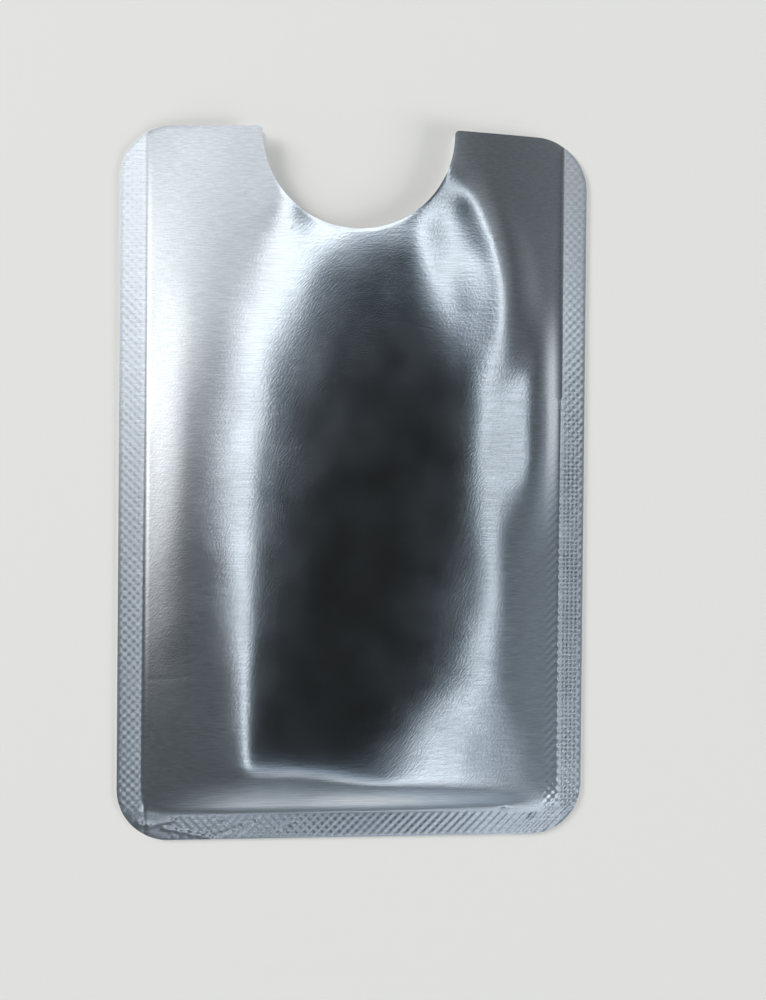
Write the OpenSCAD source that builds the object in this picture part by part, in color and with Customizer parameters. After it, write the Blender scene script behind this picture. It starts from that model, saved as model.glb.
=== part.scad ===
// Card sleeve of foil laminate: two panels heat-sealed along both sides and the bottom,
// open at the mouth, with a round thumb notch cut through both panels.
// It lies on its back. The origin is at the middle of the back face, +Y points to the mouth
// and +Z up out of the front panel. Sizes are in millimetres.

/* [Sleeve] */
// Width across both side seals
sleeve_w = 61.5; // [56:0.5:80]
// Height from the sealed bottom edge to the mouth
sleeve_h = 93; // [75:0.5:120]
// Radius of the four outer corners
corner_r = 6.8; // [3:0.1:9]

/* [Thumb notch] */
// Width of the notch where it leaves the mouth
notch_w = 25; // [16:0.2:34]
// Depth of the notch below the mouth
notch_depth = 13; // [8:0.2:20]
// Rounding of the two tips beside the notch
tip_r = 0.6; // [0.2:0.1:1.5]

/* [Heat seals] */
// Width of the left and right seals
side_seal_w = 3.2; // [2:0.1:6]
// Height of the bottom seal
bottom_seal_h = 3.8; // [2:0.1:8]

/* [Laminate] */
// Thickness of the aluminium foil
foil_t = 0.03; // [0.01:0.005:0.08]
// Thickness of the paper core
core_t = 0.13; // [0.06:0.01:0.3]
// Thickness of the sealing film
film_t = 0.04; // [0.02:0.005:0.1]

/* [Front panel swell] */
// Height of the front panel's swell at its highest, near the mouth
mouth_swell = 2.5; // [0.5:0.1:6]
// Length over which the panel rises from the bottom seal
foot_run = 2; // [1:0.5:8]
// Roundness of the left fold, measured across it
left_soft = 2.4; // [1:0.2:8]
// Roundness of the right fold, measured across it
right_soft = 5.8; // [2:0.2:12]

/* [Hidden] */
$fn = 96;

// Facets across and along the pocket of the swollen front panel
ACROSS = 30;
ALONG = 24;

// How far cutting bodies pass the faces they cut
over = 1;

pocket_w = sleeve_w - 2 * side_seal_w;
pocket_h = sleeve_h - bottom_seal_h;
pocket_left = -pocket_w / 2;
foot_y = bottom_seal_h - sleeve_h / 2;
mouth_y = sleeve_h / 2;
notch_r = notch_w / 2;
notch_centre_y = mouth_y - notch_depth + notch_r;

// Levels of the layers, from the table up
back_core_z = foil_t;
back_film_z = back_core_z + core_t;
seal_z = back_film_z;
front_film_z = back_film_z + film_t;
front_core_z = front_film_z + film_t;
front_foil_z = front_core_z + core_t;

foil_colour = "#c3c7cb";
core_colour = "#f4f3ef";
film_colour = "#dfe6ea";

// Rises from 0 to 1 along half a cosine wave, level at both ends
function ramp(t) = (1 - cos(180 * min(max(t, 0), 1))) / 2;

// Passes smoothly through three values: at the foot, halfway up and at the mouth
function along(t, foot, middle, mouth) =
    foot * (1 - t) * (1 - 2 * t) + middle * 4 * t * (1 - t) + mouth * t * (2 * t - 1);

// Where the two folds and the ridge of the arch run, as shares of the pocket's half width
function left_fold(t) = -0.505 + 0.04 * ramp(t / 0.56) + 0.152 * pow(max(0, (t - 0.714) / 0.28), 2);
function right_fold(t) = 0.777 - 0.272 * pow(max(0, (t - 0.647) / 0.28), 2);
function ridge(t) = along(t, -0.4, -0.4, 0.356);

// An arch over the whole width, 1 at the ridge and 0 at both seals
function arch(u, t) =
    let (r = ridge(t))
    1 - pow(abs(u - r) / (u > r ? 1 - r : 1 + r), 1.74);

// A tent over a fold, 0 at both seals and rounded over the fold
function tent(u, fold, soft) =
    let (left = (u + 1) / (1 + fold), right = (1 - u) / (1 - fold))
    let (k = soft / pocket_w * (1 / (1 + fold) + 1 / (1 - fold)))
    (left + right - sqrt(pow(left - right, 2) + pow(k, 2))) / 2;

// The front panel stands up as an arch with a soft fold on each side, where a card has bent it.
// u is the place across the pocket, from -1 to 1, and t the place up it, from 0 to 1.
function shape(u, t) =
    along(t, 0.25, 0.19, 0.455) * arch(u, t)
    + along(t, 0.39, 0.07, 0.03) * tent(u, left_fold(t), left_soft)
    + along(t, 0, 0.495, 0.72) * tent(u, right_fold(t), right_soft * (1 + 4.7 * max(0, 0.31 - t)));

// Height of the front panel above the flat seals
function swell(x, y) =
    let (u = 2 * x / pocket_w, t = (y - foot_y) / pocket_h)
    abs(u) > 0.9999 || t < 0.0001 ? 0
    : mouth_swell * (1 - exp(-(y - foot_y) / foot_run)) * max(0, shape(u, t));

// Columns and rows of the front panel's facets: single strips over the seals, which are level,
// and over the pocket even steps across and steps that grow from the foot to the mouth
columns = concat(
    [-sleeve_w / 2 - over],
    [for (i = [0 : ACROSS]) pocket_left + pocket_w * i / ACROSS],
    [sleeve_w / 2 + over]
);
rows = concat(
    [-sleeve_h / 2 - over],
    [for (j = [0 : ALONG]) foot_y + pocket_h * pow(j / ALONG, 1.5)],
    [mouth_y + over]
);

module rounded_square(w, h, r) {
    square([w - 2 * r, h], center = true);
    square([w, h - 2 * r], center = true);
    for (sx = [-1, 1], sy = [-1, 1])
        translate([sx * (w / 2 - r), sy * (h / 2 - r)])
            circle(r);
}

// The notch runs straight from the mouth as far as its centre, then follows a half circle
module notch_outline() {
    translate([0, notch_centre_y])
        circle(notch_r);
    translate([-notch_r, notch_centre_y])
        square([notch_w, mouth_y - notch_centre_y + over]);
    for (side = [0, 1])
        mirror([side, 0])
            difference() {
                translate([notch_r - over, mouth_y - tip_r])
                    square([tip_r + over, tip_r + over]);
                translate([notch_r + tip_r, mouth_y - tip_r])
                    circle(tip_r);
            }
}

// Outline that the die cuts through both panels in one stroke
module panel_outline() {
    difference() {
        rounded_square(sleeve_w, sleeve_h, corner_r);
        notch_outline();
    }
}

// The part of the outline inside the three seals
module pocket_outline() {
    intersection() {
        panel_outline();
        translate([pocket_left, foot_y])
            square([pocket_w, pocket_h]);
    }
}

module plate(z, t) {
    translate([0, 0, z])
        linear_extrude(t)
            children();
}

// A sheet of thickness t that follows the swell of the front panel
module swollen_sheet(z, t) {
    nx = len(columns);
    ny = len(rows);
    under = [for (y = rows, x = columns) [x, y, z + swell(x, y)]];
    above = [for (p = under) p + [0, 0, t]];
    n = nx * ny;
    function at(i, j) = j * nx + i;
    cells = [for (j = [0 : ny - 2], i = [0 : nx - 2])
        [at(i, j), at(i + 1, j), at(i + 1, j + 1), at(i, j + 1)]];
    lower = [for (c = cells) each [[c[0], c[1], c[2]], [c[0], c[2], c[3]]]];
    upper = [for (c = cells) each [[n + c[2], n + c[1], n + c[0]], [n + c[3], n + c[2], n + c[0]]]];
    rim = concat(
        [for (i = [0 : nx - 2]) [at(i, 0), at(i + 1, 0)]],
        [for (j = [0 : ny - 2]) [at(nx - 1, j), at(nx - 1, j + 1)]],
        [for (i = [nx - 1 : -1 : 1]) [at(i, ny - 1), at(i - 1, ny - 1)]],
        [for (j = [ny - 1 : -1 : 1]) [at(0, j), at(0, j - 1)]]
    );
    walls = [for (e = rim) each [[e[1], e[0], n + e[0]], [e[1], n + e[0], n + e[1]]]];
    polyhedron(concat(under, above), concat(lower, upper, walls));
}

// The front layers are cut to the same outlines as the flat ones behind them
module front_layer(z, t) {
    intersection() {
        swollen_sheet(z, t);
        plate(0, front_foil_z + mouth_swell + over)
            children();
    }
}

module back_foil() {
    color(foil_colour)
        plate(0, foil_t)
            panel_outline();
}

module back_core() {
    color(core_colour)
        plate(back_core_z, core_t)
            panel_outline();
}

module back_film() {
    color(film_colour)
        plate(back_film_z, film_t)
            pocket_outline();
}

// In a seal the two films are melted together and keep their joint thickness
module side_seal(side) {
    color(film_colour)
        plate(seal_z, 2 * film_t)
            intersection() {
                panel_outline();
                translate([side < 0 ? -sleeve_w / 2 : pocket_w / 2, -sleeve_h / 2])
                    square([side_seal_w, sleeve_h]);
            }
}

module left_seal() {
    side_seal(-1);
}

module right_seal() {
    side_seal(1);
}

module bottom_seal() {
    color(film_colour)
        plate(seal_z, 2 * film_t)
            intersection() {
                panel_outline();
                translate([pocket_left, -sleeve_h / 2])
                    square([pocket_w, bottom_seal_h]);
            }
}

module front_film() {
    color(film_colour)
        front_layer(front_film_z, film_t)
            pocket_outline();
}

module front_core() {
    color(core_colour)
        front_layer(front_core_z, core_t)
            panel_outline();
}

module front_foil() {
    color(foil_colour)
        front_layer(front_foil_z, foil_t)
            panel_outline();
}

back_foil();
back_core();
back_film();
left_seal();
right_seal();
bottom_seal();
front_film();
front_core();
front_foil();
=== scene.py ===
# %% [markdown]
# # A card sleeve of aluminium foil
#
# The object is a flat pocket for one card. It is cut from a laminate of bare aluminium foil,
# white paper and sealing film. Two panels lie face to face and are welded along both sides and
# along the bottom between hot knurled bars. The mouth stays open, and a round notch lets a thumb
# reach the card.
#
# The CAD model holds every layer at its true thickness, so the flat layers and the welds are kept
# as they are. The two outer foils carry all that the eye sees: the knurled pips, the soft swell
# of the front and the marks of handling. They are modelled again here, and so are the two layers
# that bend under the front foil.
# %% Load the frame
import math

import bmesh
import bpy
from mathutils import Matrix, Vector, noise


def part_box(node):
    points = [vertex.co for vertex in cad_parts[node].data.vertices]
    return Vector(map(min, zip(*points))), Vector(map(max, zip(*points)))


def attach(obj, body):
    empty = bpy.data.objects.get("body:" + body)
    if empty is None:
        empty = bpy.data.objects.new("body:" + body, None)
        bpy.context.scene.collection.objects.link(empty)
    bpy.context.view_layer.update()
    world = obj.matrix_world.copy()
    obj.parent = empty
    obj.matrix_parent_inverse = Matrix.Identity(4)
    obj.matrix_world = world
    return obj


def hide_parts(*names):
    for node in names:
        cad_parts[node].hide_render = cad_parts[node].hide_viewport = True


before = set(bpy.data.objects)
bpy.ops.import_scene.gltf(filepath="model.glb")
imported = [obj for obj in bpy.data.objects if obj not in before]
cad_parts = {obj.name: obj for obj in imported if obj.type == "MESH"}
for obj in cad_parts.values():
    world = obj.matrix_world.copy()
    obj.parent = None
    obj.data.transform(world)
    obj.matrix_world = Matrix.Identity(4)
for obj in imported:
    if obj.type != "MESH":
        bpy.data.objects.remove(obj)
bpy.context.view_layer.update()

print("layers in the frame:", sorted(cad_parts))

# %% [markdown]
# ## Sizes
#
# Sizes are read from the boxes of the CAD nodes, so the foils follow the construction. Only the
# roundings of the die and the depth of its notch can't be read from a box, so they are written
# again. Shapes are thought of in millimetres, as a maker would, and each mesh is turned to metres
# once, when it is finished.
# %% Sizes of the sleeve
MM = 0.001
BODY = "root"


def box_mm(node):
    """The lowest and highest corner of a CAD node, in millimetres."""
    low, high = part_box(node)
    return low / MM, high / MM


panel_low, panel_high = box_mm("front_foil")
half_w = panel_high.x
mouth_y = panel_high.y
bottom_y = panel_low.y
# The pocket reaches as far to each side as the right seal's inner edge, and down to the foot
pocket_x = box_mm("right_seal")[0].x
foot_y = box_mm("bottom_seal")[1].y
# Thickness of a foil, and the undersides of the front panel's layers where they lie flat
foil_t = box_mm("back_foil")[1].z
film_z = box_mm("front_film")[0].z
core_z = box_mm("front_core")[0].z
foil_z = panel_low.z
# The die
corner_r = 6.8
notch_r = 12.5
notch_depth = 13
tip_r = 0.6
print(f"sleeve {2 * half_w:.1f} x {mouth_y - bottom_y:.1f} mm, pocket {2 * pocket_x:.1f} mm wide")

# %% [markdown]
# ## The shape of the front panel
#
# A used sleeve never lies flat. Its front stands up as a shallow arch between the seals, highest
# near the mouth, and the card's edges have left two soft folds in it, one on each side. The foil
# is a mirror, so these folds are what the eye sees first: each one bends the reflection of the
# whole room into a narrow bright line.
#
# A cloth simulation could find such a shape, but not these folds. Here the height is a formula:
# an arch, plus a rounded tent over each fold line, plus a few shallow dents. It is built from
# three small curves.
# %% Rounded steps and curves
def ramp(t):
    """Rises from 0 to 1 along an S curve, level at both ends."""
    t = min(max(t, 0), 1)
    return t * t * (3 - 2 * t)


def along(y, foot, middle, mouth):
    """A value that passes smoothly through the ones given at the foot, the middle and the mouth."""
    t = (y - foot_y) / (mouth_y - foot_y)
    return foot * (1 - t) * (1 - 2 * t) + middle * 4 * t * (1 - t) + mouth * t * (2 * t - 1)


def tent(x, fold_x, roundness):
    """1 over the fold, 0 at both seals, straight between them and rounded over the fold."""
    left = (x + pocket_x) / (pocket_x + fold_x)
    right = (pocket_x - x) / (pocket_x - fold_x)
    soft = roundness * (1 / (pocket_x + fold_x) + 1 / (pocket_x - fold_x)) / 2
    return (left + right - math.hypot(left - right, soft)) / 2


print(f"a tent over the middle, 5 mm round: {tent(0, 0, 5):.2f} on top, {tent(14, 0, 5):.2f} halfway")

# %% [markdown]
# The folds run straight up from the foot, where the card's long edges lie. Near the mouth they
# turn in towards the notch, because a thumb has pushed the panel in there. A quadratic that
# starts at a chosen height gives that turn without a kink. All of these numbers were tuned
# against the photograph, one fold at a time, until the bright lines lay where they should.
# %% The two folds
def turn_in(y, start):
    """How far a fold has turned in above the height where its turn starts."""
    return max(0, (y - start) / 25) ** 2


def left_fold(y):
    """Where the left fold runs."""
    return -13.9 + 1.4 * ramp((y + 40) / 50) + 4.1 * turn_in(y, 24.9)


def right_fold(y):
    """Where the right fold runs. It also leans in a little near the foot."""
    return 21 - 7.6 * turn_in(y, 14.5) - 1.1 * max(0, (-29.5 - y) / 32) ** 2


left_roundness = 1.64


def right_roundness(y):
    """How softly the right fold bends: softest near the foot."""
    return 5.4 + 1.1 * max(0, (-15 - y) / 25)


for height_y in (foot_y, 0, mouth_y):
    print(f"folds at y {height_y:.1f}: {left_fold(height_y):.1f} and {right_fold(height_y):.1f} mm")

# %% [markdown]
# Above the bottom seal the panel comes up as a short slant that bends level. A hyperbola joins
# the two, which looks softer than a circle's arc because it starts to bend earlier.
# %% The broad shape
slant_length = 3.4
slant_softness = 0.8
arch_power = 1.85


def rise(y):
    """How far the panel has come up from the bottom seal."""
    way = (y - foot_y) / slant_length
    start = math.hypot(1, slant_softness)
    return (way + start - math.hypot(way - 1, slant_softness)) / (1 + start)


def arch_and_folds(x, y):
    """The broad shape: an arch that leans to one side, and the two folds."""
    ridge = along(y, -11.9, -12.3, 4.9)
    reach = pocket_x - ridge if x > ridge else pocket_x + ridge
    arch = along(y, 1.08, 0.52, 1.24) * (1 - abs((x - ridge) / reach) ** arch_power)
    folds = along(y, 0.7, 0.07, 0.18) * tent(x, left_fold(y), left_roundness)
    folds += along(y, 0, 1.06, 1.86) * tent(x, right_fold(y), right_roundness(y))
    return rise(y) * (arch + folds)


print(f"broad shape at the middle {arch_and_folds(0, 0):.2f} mm high")

# %% [markdown]
# A thumb that pinches the sleeve leaves flat spots beside the right fold. Each is an oval that is
# pulled towards a plane. The plane's height is counted from the broad shape at the oval's middle.
# Dents are shallower: each is a soft bump or hollow along a short line. The welds hold the panel
# down, so both fade out towards the seals.
# %% Flat spots and dents from handling
FLATS = [
    {"middle": (15, 26.5), "half_long": 10, "half_short": 5.8, "turn": -1.38,
     "tilt": (-0.01, 0.017), "lift": -0.204, "soft": 0.66},
    {"middle": (23.05, 8), "half_long": 11.8, "half_short": 6.2, "turn": -1.72,
     "tilt": (-0.017, 0.019), "lift": 0.3, "soft": 0.63},
    {"middle": (12, -39), "half_long": 13.9, "half_short": 9.5, "turn": 0.125,
     "tilt": (-0.043, 0.012), "lift": 0.107, "soft": 0.52},
]
# Each dent has two ends, a radius and a height, which is negative for a hollow
DENTS = [
    ((-18.8, 18.8), (-31.6, -15.7), 8.4, 0.1),
    ((-6.8, 42), (-8.8, 37.3), 3.85, 0.11),
    ((-4.75, 36.1), (12.2, 37.4), 3.9, -0.12),
]
# How far from a weld the flat spots and the dents come up to their full height
flat_fade = 2.2
dent_fade = 6


def dent(x, y, start, end, radius, height):
    """A shallow round-ended dent along a line."""
    dx, dy = end[0] - start[0], end[1] - start[1]
    t = ((x - start[0]) * dx + (y - start[1]) * dy) / (dx * dx + dy * dy)
    t = min(max(t, 0), 1)
    gap = math.hypot(x - start[0] - t * dx, y - start[1] - t * dy)
    return height * math.exp(-((gap / radius) ** 2))


def flatten(height, x, y, spot):
    """Pulls the height towards the plane of a flat spot."""
    dx, dy = x - spot["middle"][0], y - spot["middle"][1]
    c, s = math.cos(spot["turn"]), math.sin(spot["turn"])
    reach = math.hypot((dx * c + dy * s) / spot["half_long"], (dy * c - dx * s) / spot["half_short"])
    share = ramp((1 + spot["soft"] - reach) / (2 * spot["soft"]))
    if not share:
        return height
    plane = arch_and_folds(*spot["middle"]) + spot["lift"]
    plane += spot["tilt"][0] * dx + spot["tilt"][1] * dy
    return height + share * (plane - height)


def freed(gap):
    """How far the panel is free of a weld that lies a gap away, from 0 to 1."""
    return 1 - math.exp(-((gap / flat_fade) ** 2))


def swell(x, y):
    """How far the front panel stands above the flat seals, in millimetres."""
    if abs(x) >= pocket_x or y <= foot_y:
        return 0
    aside, up = pocket_x - abs(x), y - foot_y
    broad = arch_and_folds(x, y)
    height = broad
    for spot in FLATS:
        height = flatten(height, x, y, spot)
    height = broad + (height - broad) * freed(aside) * freed(up)
    edge = ramp(aside / dent_fade) * ramp(up / dent_fade)
    return max(0, height + edge * sum(dent(x, y, *d) for d in DENTS))


print(f"swell at the middle {swell(0, 0):.2f} mm, at the mouth {swell(0, mouth_y):.2f} mm")

# %% [markdown]
# ## The knurled seals
#
# The bars that weld the sleeve are knurled, which leaves rows of tiny pips in the foil, offset
# from column to column. A texture could paint them, but from the side they would be gone. Two
# crossing waves give real pips. One wave is made stronger, because the pips lean and join along
# one diagonal.
#
# The pitch of the pips is tied to the cells of the mesh, so the pips look alike all along a seal.
# %% Knurled pips
cells_x = 48
cells_y = 76
cell_w = pocket_x / cells_x
cell_h = -foot_y / cells_y
pip_pitch = (cell_w + cell_h) / 2
pip_height = 0.017


def pips(x, y):
    """The pattern of pips, from -1 to 1."""
    turn = math.pi / pip_pitch
    lean = 0.6 if y < foot_y else 0.54
    return lean * math.cos(turn * (x - y)) + (1 - lean) * math.cos(turn * (x + y))


print(f"pips {pip_pitch:.2f} mm apart and {2 * pip_height:.3f} mm from low to high")

# %% [markdown]
# The bars haven't pressed equally. The left one is worn, the right one has also struck the panel
# a second time beside the seal, and noise makes the depth of every strip a little uneven.
# %% How hard the bars have pressed
def strip(value, start, end, soft=0.3):
    """1 between start and end, 0 outside, with soft edges."""
    return ramp((value - start) / soft + 0.5) * ramp((end - value) / soft + 0.5)


def press(x, y):
    """How hard the bars have pressed at a place, from 0 to about 1."""
    left = 0.5 * strip(x, -half_w + 0.3, -27.8) * strip(y, -43, mouth_y + 1)
    right = strip(x, 27.9, half_w - 0.2) * (0.3 + 0.7 * ramp((30 - y) / 30))
    second = 0.8 * strip(x, 25.7, 27.5) * ramp((8 - y) / 14)
    foot = 0.65 * strip(y, bottom_y + 0.2, -43.4) * strip(x, -24, half_w)
    uneven = 0.85 + 0.4 * noise.noise(Vector((x / 4, y / 4, 0)))
    return max(left, right, second, foot) * uneven


print(f"pressed on the left seal {press(-29.2, 0):.2f}, on the right seal {press(29.2, 0):.2f}")

# %% [markdown]
# Use has left its marks. The corner at the lower left has been crimped, which threw up a lip and
# cracked the foil in short slants beside it, and grit in a pocket has dotted the panel. All of
# them are small enough to be a list: two ends, a radius and a height for each. Their shape is
# that of a dent, only much smaller.
# %% Marks of use
MARKS = [
    ((-27.9, -44.3), (-26.6, -44.6), 0.35, 0.04), ((-26.6, -44.6), (-23.3, -43.9), 0.22, 0.035),
    ((-24.7, -44.9), (-18.6, -46.3), 0.22, 0.03),
    ((-19, -45.4), (-17.1, -44.2), 0.2, -0.025), ((-18.4, -46.2), (-14.7, -44.8), 0.2, -0.025),
    ((-15.3, -46), (-12.9, -44.2), 0.2, -0.025), ((-9.9, -45.5), (-7.4, -44.2), 0.2, -0.02),
    ((-28.9, -43.2), (-27.6, -42), 0.2, 0.01), ((-27.3, -43), (-26.4, -42), 0.2, 0.01),
    ((23.9, -44.2), (24.1, -44), 0.4, 0.02), ((20.5, -43), (20.7, -43), 0.35, 0.02),
    ((5.5, -0.2), (6.3, 1.4), 0.2, 0.008),
    ((-26.5, -25.4), (-7.1, -24.5), 0.3, -0.003), ((-7.1, -24.5), (14.4, -24.1), 0.3, -0.002),
]
SPECKS = [(-15, 39.4), (-14.9, 37.9), (-8.9, 33.5), (-13.7, 43.1), (17.8, 32.5), (24.8, 30.8),
          (22.1, 22.2), (3.3, -1.8), (-21.9, -25.5), (-8.1, -24.9), (4.9, -29.4), (-8, -35.2)]
speck_radius = 0.2
speck_height = 0.007
MARKS += [((x, y), (x + 0.1, y + 0.1), speck_radius, speck_height) for x, y in SPECKS]


def near(x, y, mark, reach):
    """Whether a place is within reach of a mark's box."""
    (x1, y1), (x2, y2) = mark[:2]
    return (min(x1, x2) - reach < x < max(x1, x2) + reach
            and min(y1, y2) - reach < y < max(y1, y2) + reach)


def marks(x, y):
    """Height of all the marks at a place."""
    return sum(dent(x, y, *mark) for mark in MARKS if near(x, y, mark, 1))


print(f"{len(MARKS)} marks, {len(SPECKS)} of them specks")

# %% [markdown]
# The stroke of the die leaves the foil's edge turned down a little, which draws a fine bright
# line around the sleeve. A bevel would do on a plain plate, but this edge lies on a swollen one.
# So the drop is another term of the height, and it needs the distance from the cut edge.
# %% Turned edge
turned_width = 0.35
turned_drop = 0.008


def edge_distance(x, y):
    """How far inside the outline a place lies."""
    middle_y = (mouth_y + bottom_y) / 2
    qx = abs(x) - (half_w - corner_r)
    qy = abs(y - middle_y) - ((mouth_y - bottom_y) / 2 - corner_r)
    outside = math.hypot(max(qx, 0), max(qy, 0)) + min(max(qx, qy), 0) - corner_r
    notch_y = mouth_y - notch_depth + notch_r
    notch = math.hypot(x, y - notch_y) if y < notch_y else abs(x)
    return min(-outside, notch - notch_r)


def turned_edge(x, y):
    """Drop of the foil close to the cut edge."""
    return -turned_drop * (1 - ramp(edge_distance(x, y) / turned_width))


print(f"the middle of the sleeve lies {edge_distance(0, 0):.1f} mm from the nearest cut")

# %% [markdown]
# ## The die
#
# All layers are cut in one stroke after welding, so one outline serves them all. It starts as
# eight corners. A vertex bevel rounds each one: the outer corners, the two tips beside the notch
# and, with a radius of half the notch, the two inner corners that become its half circle.
# %% From a bmesh to an object
tool_low, tool_high = -2, 8


def new_object(name, bm):
    """Turns a bmesh into an object whose faces point outwards."""
    mesh = bpy.data.meshes.new(name)
    bmesh.ops.recalc_face_normals(bm, faces=bm.faces)
    bm.to_mesh(mesh)
    bm.free()
    obj = bpy.data.objects.new(name, mesh)
    bpy.context.scene.collection.objects.link(obj)
    return obj


print(f"cutting tools reach from z {tool_low} to z {tool_high} mm, past all the layers")

# %% Cut the outline
def round_corners(bm, points, radius, segments):
    """Rounds the corners of a flat outline that lie at the points."""
    corners = [v for v in bm.verts if any((v.co - Vector(p)).length < 0.01 for p in points)]
    bmesh.ops.bevel(bm, geom=corners, offset=radius, offset_type="OFFSET", segments=segments,
                    profile=0.5, affect="VERTICES", material=-1, clamp_overlap=False)


def die():
    """A tall solid with the outline of the sleeve."""
    root_y = mouth_y - notch_depth
    outer = [(-half_w, bottom_y), (half_w, bottom_y), (half_w, mouth_y), (-half_w, mouth_y)]
    tips = [(notch_r, mouth_y), (-notch_r, mouth_y)]
    roots = [(notch_r, root_y), (-notch_r, root_y)]
    order = outer[:3] + [tips[0], roots[0], roots[1], tips[1], outer[3]]
    bm = bmesh.new()
    bm.faces.new([bm.verts.new((x, y, tool_low)) for x, y in order])
    for points, radius, segments in ((outer, corner_r, 24), (tips, tip_r, 6), (roots, notch_r, 48)):
        round_corners(bm, [(x, y, tool_low) for x, y in points], radius, segments)
    bmesh.ops.remove_doubles(bm, verts=bm.verts, dist=0.001)
    top = bmesh.ops.extrude_face_region(bm, geom=bm.faces[:], use_keep_orig=True)
    bmesh.ops.translate(bm, verts=[g for g in top["geom"] if isinstance(g, bmesh.types.BMVert)],
                        vec=(0, 0, tool_high - tool_low))
    return new_object("die", bm)


sleeve_die = die()
print("die:", len(sleeve_die.data.polygons), "faces")

# %% [markdown]
# ## Sheets
#
# A Solidify modifier could give a surface its thickness, but it would copy every pip to the
# underside. So each sheet has two height formulas, one for its upper side and one for its
# underside.
#
# It starts as an even grid whose lines pass along the inner edges of the seals, so that all
# layers bend in the same places. Where the bars have pressed, the cells are cut in three, so a
# pip has six points across it, and elsewhere they stay wide. The grid is lifted to the upper
# side, and a copy of it is lowered to the underside, which closes the sheet. Then the die cuts
# it, so its cut edge is a real wall as thick as the layer.
# %% Make a sheet
def sheet(name, over, under, needs_small_cells=None):
    """A closed sheet between two height formulas, a little larger than the sleeve."""
    across = 2 * math.ceil(half_w / cell_w + 0.1)
    upward = 2 * math.ceil(mouth_y / cell_h + 0.1)
    bm = bmesh.new()
    bmesh.ops.create_grid(bm, x_segments=across, y_segments=upward, size=0.5)
    bmesh.ops.scale(bm, verts=bm.verts, vec=(across * cell_w, upward * cell_h, 1))
    if needs_small_cells:
        small = {f for f in bm.faces if needs_small_cells(*f.calc_center_median().xy)}
        edges = [e for e in bm.edges if not small.isdisjoint(e.link_faces)]
        bmesh.ops.subdivide_edges(bm, edges=edges, cuts=2, use_grid_fill=True)
    for v in bm.verts:
        v.co.z = over(v.co.x, v.co.y)
    copy = bmesh.ops.extrude_face_region(bm, geom=bm.faces[:], use_keep_orig=True)
    for v in copy["geom"]:
        if isinstance(v, bmesh.types.BMVert):
            v.co.z = under(v.co.x, v.co.y)
    return new_object(name, bm)


print(f"wide cells are {cell_w:.2f} x {cell_h:.2f} mm")

# %% Cut a sheet and set it in place
def cut(obj, cutter):
    """Keeps what an object shares with a cutter."""
    knife = obj.modifiers.new("cut", "BOOLEAN")
    knife.operation = "INTERSECT"
    knife.object = cutter
    knife.solver = "MANIFOLD"
    shown = obj.evaluated_get(bpy.context.evaluated_depsgraph_get())
    mesh = bpy.data.meshes.new_from_object(shown)
    obj.modifiers.clear()
    obj.data = mesh


def set_in_place(obj, *stands_for):
    """Turns a sheet to metres, smooths it, and sets it in the place of its CAD nodes."""
    obj.data.transform(Matrix.Scale(MM, 4))
    obj.data.shade_smooth()
    obj.data.set_sharp_from_angle(angle=math.radians(50))
    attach(obj, BODY)
    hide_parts(*stands_for)
    triangles = sum(len(p.vertices) - 2 for p in obj.data.polygons)
    print(f"{obj.name}: {triangles} triangles")


# %% [markdown]
# ## Front foil
#
# The front foil bends over the pocket and carries the pips. Only its upper side is pressed in,
# so the paper under it can stay smooth. Its height is the sum of all that has happened to it:
# the swell, the press of the bars, the marks, the turned edge and a faint waviness.
# %% Where the foil needs small cells
def needs_small_cells(x, y):
    """Whether a place on a foil is knurled, marked or close to the cut edge."""
    pressed = x < -26.6 or x > 27.3 or y < -43 or (x > 25.2 and y < 12)
    return pressed or edge_distance(x, y) < 0.7 or any(near(x, y, mark, 0.7) for mark in MARKS)


print("small cells at the left seal:", needs_small_cells(-29, 0), "and in the middle:",
      needs_small_cells(0, 0))

# %% Front foil
seal_taper = 0.02
groove_x, groove_width, groove_depth = -27.2, 0.2, 0.012


def handled(x, y):
    """The faint waviness of foil that has been carried about."""
    broad = noise.noise(Vector((x / 7, y / 9, 3)))
    small = noise.noise(Vector((x / 2.2, y / 3, 7)))
    return 0.012 * broad + 0.002 * small


def thinned(y):
    """How much the bars have thinned the bottom seal towards its rim."""
    return seal_taper * min(0, y - foot_y)


def front_top(x, y):
    """Upper side of the front foil. A groove runs beside the left seal, where the bar ended."""
    groove = -groove_depth * math.exp(-(((x - groove_x) / groove_width) ** 2))
    pressed = pip_height * press(x, y) * pips(x, y)
    touched = ramp((pocket_x - abs(x)) / 2) * ramp((y - foot_y) / 2) * handled(x, y)
    level = foil_z + foil_t + swell(x, y) + thinned(y)
    return level + pressed + touched + groove + turned_edge(x, y) + marks(x, y)


def front_under(x, y):
    """Underside of the front foil."""
    return foil_z + swell(x, y) + thinned(y)


front_foil = sheet("front_foil_sheet", front_top, front_under, needs_small_cells)
cut(front_foil, sleeve_die)
set_in_place(front_foil, "front_foil")

# %% [markdown]
# ## Front paper and film
#
# The paper core shows as a fine white line on the cut edge, and the film only in the mouth. They
# could stay as the CAD has them, but the foil's swell is finer than the CAD's, and the paper
# would come through it. So both follow the same swell, on the same wide cells. The paper stops
# 0.01 mm short of the foil, which keeps it under the foil where the foil's cells are smaller.
# The film fills the pocket only, because in the seals it has melted into the weld bands.
# %% Front paper
paper_gap = 0.01


def core_top(x, y):
    """Upper side of the front paper."""
    return front_under(x, y) - paper_gap


def core_under(x, y):
    """Underside of the front paper, which is also the upper side of the front film."""
    return core_z + swell(x, y)


paper_sheet = sheet("front_paper", core_top, core_under)
cut(paper_sheet, sleeve_die)
set_in_place(paper_sheet, "front_core")

# %% Front film
def film_under(x, y):
    """Underside of the front film."""
    return film_z + swell(x, y)


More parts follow.
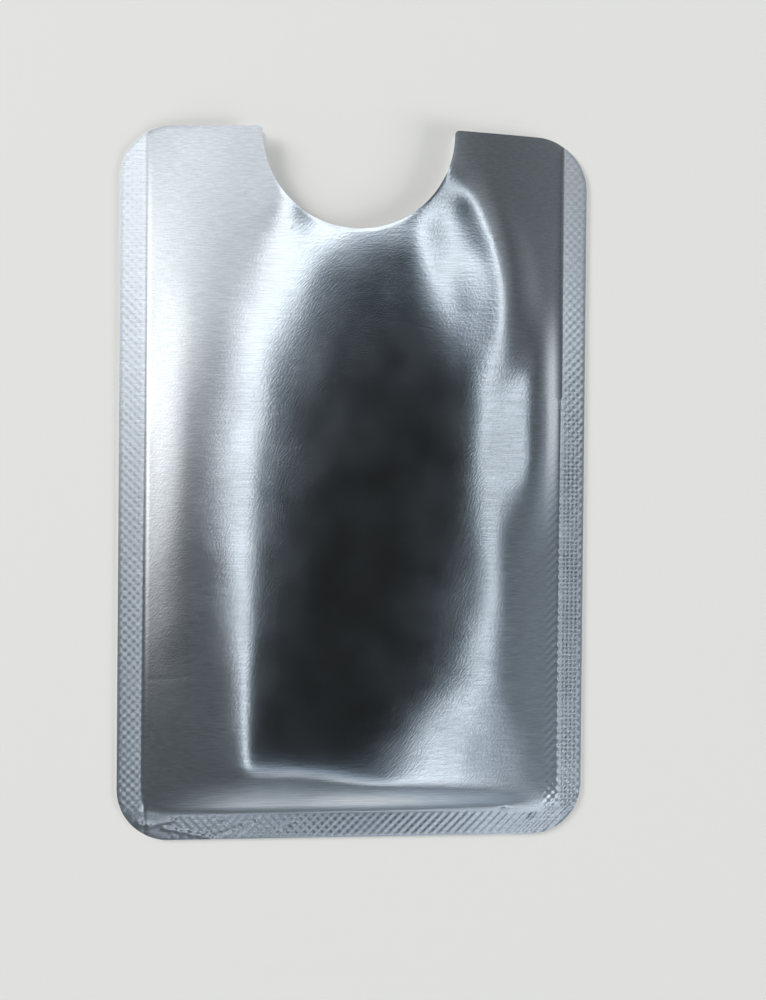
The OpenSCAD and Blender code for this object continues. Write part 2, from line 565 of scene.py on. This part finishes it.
def pocket_box():
    """A tall box over the pocket, where the films lie loose."""
    bm = bmesh.new()
    past_mouth = mouth_y + 1
    bmesh.ops.create_cube(bm, size=1)
    bmesh.ops.scale(bm, verts=bm.verts,
                    vec=(2 * pocket_x, past_mouth - foot_y, tool_high - tool_low))
    bmesh.ops.translate(bm, verts=bm.verts,
                        vec=(0, (past_mouth + foot_y) / 2, (tool_low + tool_high) / 2))
    return new_object("pocket_box", bm)


film_sheet = sheet("front_film_sheet", core_under, film_under)
cut(film_sheet, sleeve_die)
pocket_cutter = pocket_box()
cut(film_sheet, pocket_cutter)
set_in_place(film_sheet, "front_film")
bpy.data.objects.remove(pocket_cutter)

# %% [markdown]
# ## Back foil
#
# The back foil lies flat and is hidden in the photograph. The lower bars have pressed it too, but
# by no more than half the foil's thickness. They pressed upwards, so the sleeve still rests on
# its lowest points, at z 0. The pattern is the front's, seen from below.
# %% Back foil
back_share = 0.2


def back_under(x, y):
    """Underside of the back foil."""
    return back_share * foil_t * press(x, y) * (1 + pips(x, y))


back_foil = sheet("back_foil_sheet", lambda x, y: foil_t, back_under, needs_small_cells)
cut(back_foil, sleeve_die)
set_in_place(back_foil, "back_foil")
bpy.data.objects.remove(sleeve_die)

# %% [markdown]
# ## Materials
#
# Every material is a small tree of nodes. Colours are chosen as sRGB hex values, as in a paint
# program, and one function turns them to the linear values that shaders need. Another one adds a
# node, sets it up and links it. A constant goes straight into a socket, and a node that is given
# as an input is linked by its first output.
# %% Colours and nodes
def rgb(hex_colour):
    """The linear colour of an sRGB hex value."""
    parts = [int(hex_colour[i:i + 2], 16) / 255 for i in (1, 3, 5)]
    return [c / 12.92 if c <= 0.04045 else ((c + 0.055) / 1.055) ** 2.4 for c in parts] + [1]


def add(tree, kind, inputs=None, **settings):
    """Adds a node, sets its properties, and fills or links its inputs."""
    made = tree.nodes.new(kind)
    for name, value in settings.items():
        setattr(made, name, value)
    for name, value in (inputs or {}).items():
        if isinstance(value, bpy.types.Node):
            value = value.outputs[0]
        if isinstance(value, bpy.types.NodeSocket):
            tree.links.new(value, made.inputs[name])
        else:
            made.inputs[name].default_value = value
    return made


def new_material(name):
    """An empty material and its tree of nodes."""
    made = bpy.data.materials.new(name)
    made.use_nodes = True
    made.node_tree.nodes.clear()
    print("material", name)
    return made, made.node_tree


# %% [markdown]
# A laminate has a grain: the foil shows the lines of its rolls, the paper its fibres. One noise
# pattern serves them all, on Object coordinates, so it is fixed to the piece and measured in
# millimetres. Its place is turned first and stretched after, so that long grains can run in any
# direction.
#
# The knurled seals scatter light more than the pocket does, so the foil's finish has to know
# where they are. A painted mask could say so, but the two edges are straight lines, which two
# map ranges find from the coordinates alone.
# %% Grain, and where the seals are
def grain(tree, size, stretch=(1, 1, 1), turn=0, detail=2):
    """A pattern whose grains measure size in millimetres, longer where the stretch is below 1."""
    place = add(tree, "ShaderNodeTexCoord").outputs["Object"]
    turned = add(tree, "ShaderNodeMapping", {"Vector": place, "Rotation": (0, 0, turn),
                                             "Scale": (1 / MM, 1 / MM, 1 / MM)})
    drawn = add(tree, "ShaderNodeMapping", {"Vector": turned, "Scale": stretch})
    return add(tree, "ShaderNodeTexNoise", {"Vector": drawn, "Scale": 1 / size, "Detail": detail})


def welded(tree):
    """1 on the knurled seals, 0 on the pocket."""
    place = add(tree, "ShaderNodeTexCoord").outputs["Object"]
    parts = add(tree, "ShaderNodeSeparateXYZ", {0: place}).outputs
    aside = add(tree, "ShaderNodeMath", {0: parts["X"]}, operation="ABSOLUTE")
    sides = add(tree, "ShaderNodeMapRange", {"Value": aside, "From Min": (pocket_x - 0.3) * MM,
                                             "From Max": (pocket_x + 0.3) * MM})
    foot = add(tree, "ShaderNodeMapRange", {"Value": parts["Y"], "From Min": (foot_y + 0.3) * MM,
                                            "From Max": (foot_y - 0.3) * MM})
    return add(tree, "ShaderNodeMath", {0: sides, 1: foot}, operation="MAXIMUM")


print("patterns: grain in millimetres, welded on the seals")

# %% [markdown]
# ## Rolled aluminium foil
#
# The outer layer is bare aluminium foil with a bright rolled finish. Polished rolls leave it
# nearly a mirror, with fine lines in the direction of rolling, which runs across the sleeve.
# Gluing it to paper adds a faint slanting crepe. The eye sees sharp but slightly broken
# reflections, and a cool grey.
#
# An anisotropic shader could blur the reflections across the lines, but then no single line would
# show from close by. Here the lines and the crepe are two very shallow reliefs on a plain metal.
# %% Rolled aluminium foil
def foil_material():
    """Bright rolled foil, a little rougher on the seals."""
    made, tree = new_material("rolled_aluminium_foil")
    # Real roll lines are about 0.01 mm apart. They are drawn 0.13 mm wide and 25 times as long,
    # because finer ones don't show in the render
    rolling = grain(tree, 0.13, (0.04, 1, 1), 0, 2)
    # The crepe's folds are 0.19 mm wide and twice as long, and slant by 45 degrees
    crepe = grain(tree, 0.19, (0.5, 1, 1), math.radians(-45), 2)
    # Patches of 6 mm where the surface is duller or brighter by the touch of hands
    bloom = grain(tree, 6, (1, 1, 1), 0, 3)
    streak = add(tree, "ShaderNodeMapRange", {"Value": rolling, "From Min": 0.3, "From Max": 0.7})
    tone = add(tree, "ShaderNodeMix", {0: streak, 6: rgb("#d5dade"), 7: rgb("#e8ecf0")},
               data_type="RGBA")
    lines = add(tree, "ShaderNodeBump", {"Height": rolling, "Strength": 1, "Distance": 0.0012 * MM})
    grained = add(tree, "ShaderNodeBump", {"Height": crepe, "Strength": 1, "Distance": 0.0036 * MM,
                                           "Normal": lines})
    smooth = add(tree, "ShaderNodeMapRange", {"Value": bloom, "From Min": 0.3, "From Max": 0.7,
                                              "To Min": 0.09, "To Max": 0.12})
    rough = add(tree, "ShaderNodeMapRange", {"Value": welded(tree), "To Min": smooth, "To Max": 0.16})
    shader = add(tree, "ShaderNodeBsdfPrincipled", {
        "Base Color": tone.outputs[2], "Metallic": 1.0, "Roughness": rough, "Normal": grained})
    add(tree, "ShaderNodeOutputMaterial", {"Surface": shader})
    return made


foil = foil_material()

# %% [markdown]
# ## White core paper
#
# The core is bleached, uncoated paper. All that is seen of it is the cut edge: a thin, matt line
# in warm white, which sets the sleeve off from the floor. Plain white would do for so thin a line,
# but a close view of the notch shows the fibres, so they are there as grain and relief.
# %% White core paper
def paper_material():
    """Matt white paper with short fibres."""
    made, tree = new_material("white_core_paper")
    # Real fibres are about 0.03 mm thick. They are drawn 0.12 mm thick and 0.3 mm long, because
    # finer ones don't show in the render
    fibres = grain(tree, 0.12, (0.4, 1, 1), math.radians(35), 3)
    tone = add(tree, "ShaderNodeMix", {0: fibres, 6: rgb("#f7f5ef"), 7: rgb("#ece9e1")},
               data_type="RGBA")
    felt = add(tree, "ShaderNodeBump", {"Height": fibres, "Strength": 1, "Distance": 0.008 * MM})
    shader = add(tree, "ShaderNodeBsdfPrincipled", {
        "Base Color": tone.outputs[2], "Roughness": 0.85, "Normal": felt})
    add(tree, "ShaderNodeOutputMaterial", {"Surface": shader})
    return made


paper = paper_material()

# %% [markdown]
# ## Polyethylene sealing film
#
# The inside of each panel is coated with clear polyethylene, which melts in the seals. Clear film
# on white paper looks white with a soft satin gloss. A transmissive shader would show the paper
# through it, at the price of noise in a slit that is hardly lit, so the film is drawn opaque in
# the tone that the two make together.
# %% Polyethylene sealing film
def film_material():
    """White satin film with long, low waves."""
    made, tree = new_material("polyethylene_sealing_film")
    # Waves of 1.5 mm, three times as long, from the flow of the hot film
    flow = grain(tree, 1.5, (0.3, 1, 1), 0, 2)
    waves = add(tree, "ShaderNodeBump", {"Height": flow, "Strength": 1, "Distance": 0.01 * MM})
    shader = add(tree, "ShaderNodeBsdfPrincipled", {
        "Base Color": rgb("#eef0f1"), "Roughness": 0.38, "Normal": waves})
    add(tree, "ShaderNodeOutputMaterial", {"Surface": shader})
    return made


film = film_material()

# %% [markdown]
# Each piece takes the material of its layer. The back paper, the back film and the weld bands
# are the CAD's own objects. Only their material changes.
# %% Give each layer its material
LAYERS = {"front_foil_sheet": foil, "back_foil_sheet": foil, "front_paper": paper,
          "back_core": paper, "back_film": film, "front_film_sheet": film,
          "left_seal": film, "right_seal": film, "bottom_seal": film}
for name, material in LAYERS.items():
    obj = bpy.data.objects[name]
    obj.data.materials.clear()
    obj.data.materials.append(material)
    print(f"{name} is {material.name}")

# %% [markdown]
# ## Camera
#
# The sleeve was photographed from straight above, close by and a little from the left. The
# distance matters as much as the direction: from close by, the near parts look larger and each
# part of the foil mirrors another part of the room. Eye, aim and lens were solved together from
# the outline's corners in the photograph.
#
# A Track To constraint could aim the camera. It loses its sense of up when it looks straight
# down, so the camera's three directions are worked out here, and turned by a small roll.
# %% Camera
eye = Vector((-10.8, -0.25, 158.5)) * MM
aim = Vector((3.74, -1.84, 0)) * MM
roll = 0.009
camera = bpy.data.objects.new("camera", bpy.data.cameras.new("camera"))
bpy.context.scene.collection.objects.link(camera)
camera.data.sensor_fit = "VERTICAL"
camera.data.sensor_height = 36
camera.data.lens = 43.2
camera.data.clip_start = 5 * MM
ahead = (aim - eye).normalized()
right = ahead.cross(Vector((0, 1, 0))).normalized()
up = right.cross(ahead)
turned_right = right * math.cos(roll) + up * math.sin(roll)
turned_up = up * math.cos(roll) - right * math.sin(roll)
camera.matrix_world = Matrix((turned_right, turned_up, -ahead)).transposed().to_4x4()
camera.location = eye
bpy.context.scene.camera = camera
print(f"camera {(aim - eye).length / MM:.0f} mm from its aim, lens {camera.data.lens:.1f} mm")

# %% [markdown]
# ## Floor
#
# The sleeve lies on plain matt board in off-white. The board is one large square, and it lies
# 0.03 mm lower than the sleeve, because two faces at the same height would flicker.
# %% Floor
floor_half = 2
floor_gap = 0.03
floor_mesh = bpy.data.meshes.new("floor")
bm = bmesh.new()
bmesh.ops.create_grid(bm, x_segments=1, y_segments=1, size=floor_half)
bm.to_mesh(floor_mesh)
bm.free()
floor = bpy.data.objects.new("floor", floor_mesh)
bpy.context.scene.collection.objects.link(floor)
floor.location.z = -floor_gap * MM
board, tree = new_material("matt_white_board")
# Uncoated board scatters light evenly and has hardly any gloss
shader = add(tree, "ShaderNodeBsdfPrincipled", {
    "Base Color": rgb("#e6e4df"), "Roughness": 0.9, "Specular IOR Level": 0.1})
add(tree, "ShaderNodeOutputMaterial", {"Surface": shader})
floor.data.materials.append(board)
print(f"floor {2 * floor_half} m wide")

# %% [markdown]
# ## The room in the mirror
#
# Foil this bright has hardly any tone of its own: it shows the room. So the room is made with as
# much care as the foil. A picture of a room could be wrapped around the scene, but nothing in it
# could be moved to where a fold needs it. Here each direction of the sky is carried up to a level
# ceiling, one unit above the sleeve, and a few soft shapes are drawn on that ceiling. Directions
# close to the horizon would run off to infinity, so the height is kept above a small least value.
# %% Where a direction meets the ceiling
least_height = 0.05
world = bpy.data.worlds.new("studio")
bpy.context.scene.world = world
world.use_nodes = True
tree = world.node_tree
tree.nodes.clear()
way = add(tree, "ShaderNodeTexCoord").outputs["Generated"]
upward = add(tree, "ShaderNodeSeparateXYZ", {0: way}).outputs["Z"]
height = add(tree, "ShaderNodeMath", {0: upward, 1: least_height}, operation="MAXIMUM")
ceiling = add(tree, "ShaderNodeVectorMath", {0: way, 1: height}, operation="DIVIDE")


def offset(middle, reach):
    """Where a place on the ceiling lies from a middle, counted in reaches."""
    gap = add(tree, "ShaderNodeVectorMath", {0: ceiling, 1: (*middle, 1)}, operation="SUBTRACT")
    return add(tree, "ShaderNodeVectorMath", {0: gap, 1: (*reach, 1)}, operation="DIVIDE")


print("ceiling ready, with", len(tree.nodes), "nodes")

# %% [markdown]
# Overhead there is a dark opening. It is what the middle of the panel mirrors, and it gives the
# foil its depth: without a dark place in the room, foil looks like grey plastic. Its outline lies
# between an oval and a rectangle, which a superellipse gives with one number.
#
# A bright rim runs around the opening, and the two folds turn it into long bright lines. Its
# light falls off like a bell with wide skirts, whiter on the rim and bluer away from it. It is
# dimmer at its lower end, where the panel bends down to the foot.
# %% Dark opening with a bright rim
opening_middle = (0.08, -0.082)
opening_half = (0.16, 0.267)
squareness = 4
rim_narrowness = 10.5
spread = add(tree, "ShaderNodeVectorMath", {0: offset(opening_middle, opening_half)},
             operation="ABSOLUTE")
spread = add(tree, "ShaderNodeSeparateXYZ", {0: spread}).outputs
powers = [add(tree, "ShaderNodeMath", {0: spread[axis], 1: squareness}, operation="POWER")
          for axis in "XY"]
powers = add(tree, "ShaderNodeMath", {0: powers[0], 1: powers[1]}, operation="ADD")
# 0 in the middle of the opening and 1 on its rim
outward = add(tree, "ShaderNodeMath", {0: powers, 1: 1 / squareness}, operation="POWER")
outside = add(tree, "ShaderNodeMapRange", {"Value": outward, "From Min": 0.9, "From Max": 1.1},
              interpolation_type="SMOOTHSTEP")
off_rim = add(tree, "ShaderNodeMath", {0: outward, 1: 1}, operation="SUBTRACT")
off_rim = add(tree, "ShaderNodeMath", {0: off_rim, 1: rim_narrowness}, operation="MULTIPLY")
off_rim = add(tree, "ShaderNodeMath", {0: off_rim, 1: off_rim, 2: 1}, operation="MULTIPLY_ADD")
rim = add(tree, "ShaderNodeMath", {0: off_rim, 1: -1.5}, operation="POWER")
towards_mouth = add(tree, "ShaderNodeSeparateXYZ", {0: ceiling}).outputs["Y"]
dimmer = add(tree, "ShaderNodeMapRange", {"Value": towards_mouth, "From Min": -0.36,
                                          "From Max": -0.29, "To Min": 0.1},
             interpolation_type="SMOOTHSTEP")
rim = add(tree, "ShaderNodeMath", {0: rim, 1: dimmer}, operation="MULTIPLY")
rim_colour = add(tree, "ShaderNodeMix", {0: rim, 6: (1.1, 1.45, 1.85, 1), 7: (1.63, 1.67, 1.67, 1)},
                 data_type="RGBA")
print(f"opening {2 * opening_half[0]:.2f} by {2 * opening_half[1]:.2f} of the ceiling's height")

# %% [markdown]
# Around the opening hang soft spots of light. A bright panel at the left whitens the upper left
# of the sleeve, and a wide lamp beyond the mouth lights the root of the notch. A thin tube beside
# the opening widens the left fold's line. The others are weaker, and keep the right side and the
# foot from going black.
# %% Soft spots of light
SPOTS = {
    # Middle and reach on the ceiling, and colour
    "bright panel": ((-0.536, 0.086), (0.236, 0.177), (2.9, 2.9, 2.9)),
    "wide lamp": ((-0.11, 0.332), (0.4, 0.238), (0.83, 0.85, 0.88)),
    "thin tube": ((-0.109, 0.17), (0.023, 0.28), (1, 1, 1.02)),
    "blue corner": ((1.197, -1.252), (1, 1), (0.7, 0.86, 1.02)),
    "foot lamp": ((0.12, -0.4), (0.14, 0.06), (0.5, 0.53, 0.56)),
    "right foot lamp": ((0.21, -0.32), (0.07, 0.06), (0.7, 0.73, 0.76)),
}
# A spot fades out at this many reaches
spot_end = 1.67
spots = (0, 0, 0)
for middle, reach, colour in SPOTS.values():
    gap = add(tree, "ShaderNodeVectorMath", {0: offset(middle, reach)}, operation="LENGTH")
    fade = add(tree, "ShaderNodeMapRange", {"Value": gap.outputs["Value"], "From Min": spot_end,
                                            "From Max": 0}, interpolation_type="SMOOTHSTEP")
    spots = add(tree, "ShaderNodeVectorMath", {0: colour, 1: fade, 2: spots},
                operation="MULTIPLY_ADD")
print("spots of light:", ", ".join(SPOTS))

# %% [markdown]
# Now the lights are summed: a trace of light in the opening, dim walls and the spots outside it,
# and the rim on top. Far out, towards the horizon, the room turns pale. The sleeve mirrors that
# part where its walls are steep, and also when it is seen from the side.
# %% Sum of the room
opening_light = (0.008, 0.008, 0.007)
wall_light = (0.084, 0.093, 0.103)
pale_light = (0.65, 0.68, 0.71, 1)
pale_start, pale_end = 1.05, 2.2
room = add(tree, "ShaderNodeVectorMath", {0: wall_light, 1: outside, 2: opening_light},
           operation="MULTIPLY_ADD")
room = add(tree, "ShaderNodeVectorMath", {0: spots, 1: outside, 2: room}, operation="MULTIPLY_ADD")
room = add(tree, "ShaderNodeVectorMath", {0: rim_colour.outputs[2], 1: rim, 2: room},
           operation="MULTIPLY_ADD")
distance = add(tree, "ShaderNodeVectorMath", {0: ceiling}, operation="LENGTH").outputs["Value"]
far = add(tree, "ShaderNodeMapRange", {"Value": distance, "From Min": pale_start,
                                       "From Max": pale_end}, interpolation_type="SMOOTHSTEP")
room = add(tree, "ShaderNodeMix", {0: far, 6: room, 7: pale_light}, data_type="RGBA")
background = add(tree, "ShaderNodeBackground", {"Color": room.outputs[2], "Strength": 1.0})
add(tree, "ShaderNodeOutputWorld", {"Surface": background})
print("the room has", len(tree.nodes), "nodes")

# %% [markdown]
# ## Softboxes
#
# The room alone would leave the floor and the white paper flat. Two softboxes give them a soft
# shadow, the stronger one from the left. They are hidden from glossy rays, because the room
# already holds all that the foil should mirror.
# %% Softboxes
softbox_side = 0.5


def softbox(name, place, power):
    """A square area lamp that is aimed at the sleeve."""
    light = bpy.data.lights.new(name, "AREA")
    light.shape = "SQUARE"
    light.size = softbox_side
    light.energy = power
    obj = bpy.data.objects.new(name, light)
    bpy.context.scene.collection.objects.link(obj)
    obj.location = place
    obj.rotation_euler = (-Vector(place)).to_track_quat("-Z", "Y").to_euler()
    obj.visible_glossy = False
    print(f"{name}: {power} W")


softbox("left_softbox", (-0.9, 0.5, 0.55), 9)
softbox("right_softbox", (0.9, -0.4, 0.5), 5)

# %% [markdown]
# ## Finish
#
# The Standard view shows colours as they were chosen. A filmic view would pull the brightest
# reflections down to grey.
# %% Colours as they are
bpy.context.scene.view_settings.view_transform = "Standard"
